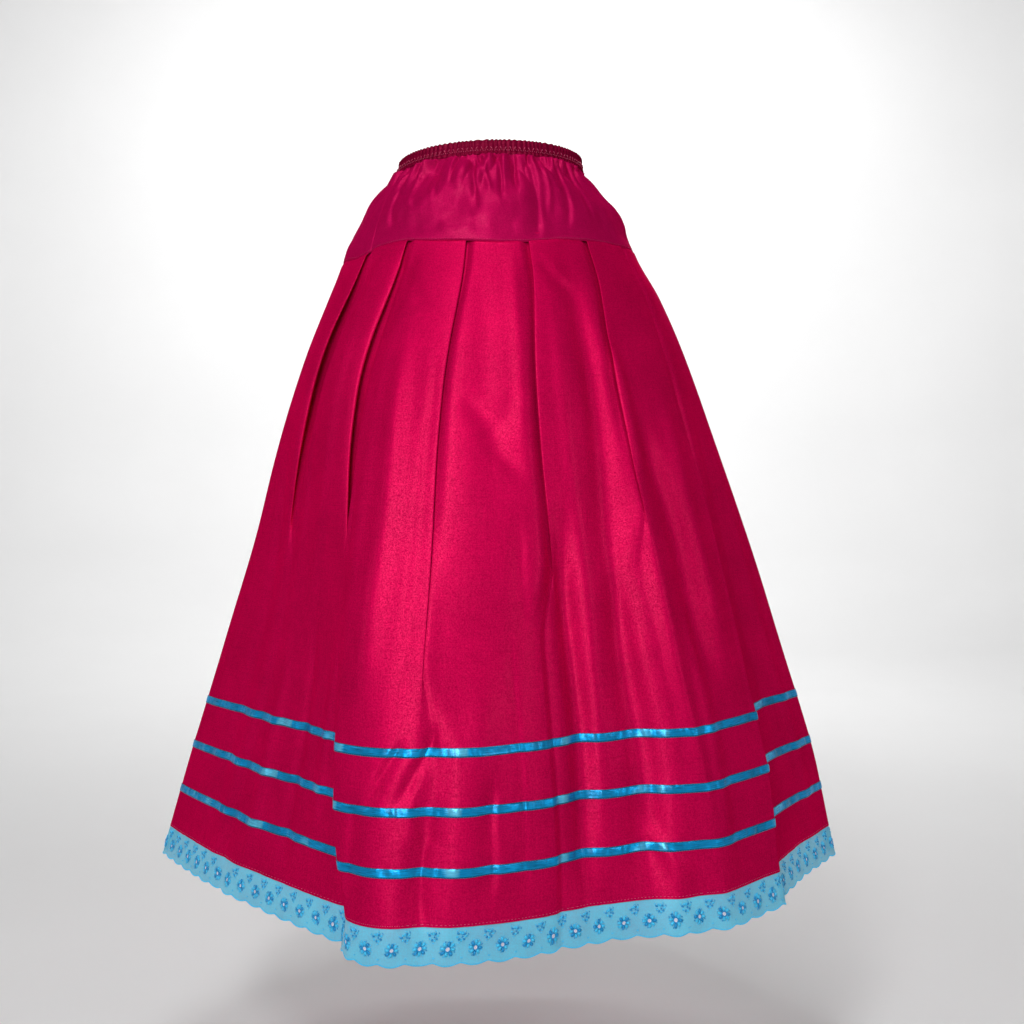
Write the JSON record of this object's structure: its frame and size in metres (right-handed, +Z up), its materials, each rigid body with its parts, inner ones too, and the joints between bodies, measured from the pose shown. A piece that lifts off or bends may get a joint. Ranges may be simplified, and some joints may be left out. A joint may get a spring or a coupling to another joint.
{
  "type": "umbanda skirt",
  "caption": "Full knife-pleated dance skirt in its worn form, hollow, with a ruched elastic waist, a gathered hip yoke, satin ribbon bands and a scalloped lace edging.",
  "frame": {"origin": "middle of the waistband's ring, where the skirt is held when it is worn", "axes": "+Z up, -Y to the front of the skirt, +X to the right as the front is seen"},
  "size_m": [0.9212, 0.8468, 0.9719],
  "materials": {
    "pink_cloth": "deep pink closely woven cloth with a soft satin sheen",
    "band_cloth": "the same cloth, finely ruched over elastic",
    "ribbon_satin": "turquoise satin ribbon",
    "lace": "pale blue sheer ground with turquoise embroidery"
  },
  "bodies": {
    "root": {"waistband": "band_cloth", "yoke_front": "pink_cloth", "yoke_back": "pink_cloth", "skirt_front": "pink_cloth", "skirt_back": "pink_cloth", "ribbon_upper": "ribbon_satin", "ribbon_middle": "ribbon_satin", "ribbon_lower": "ribbon_satin", "lace_front": "lace", "lace_back": "lace"}
  },
  "joints": []
}
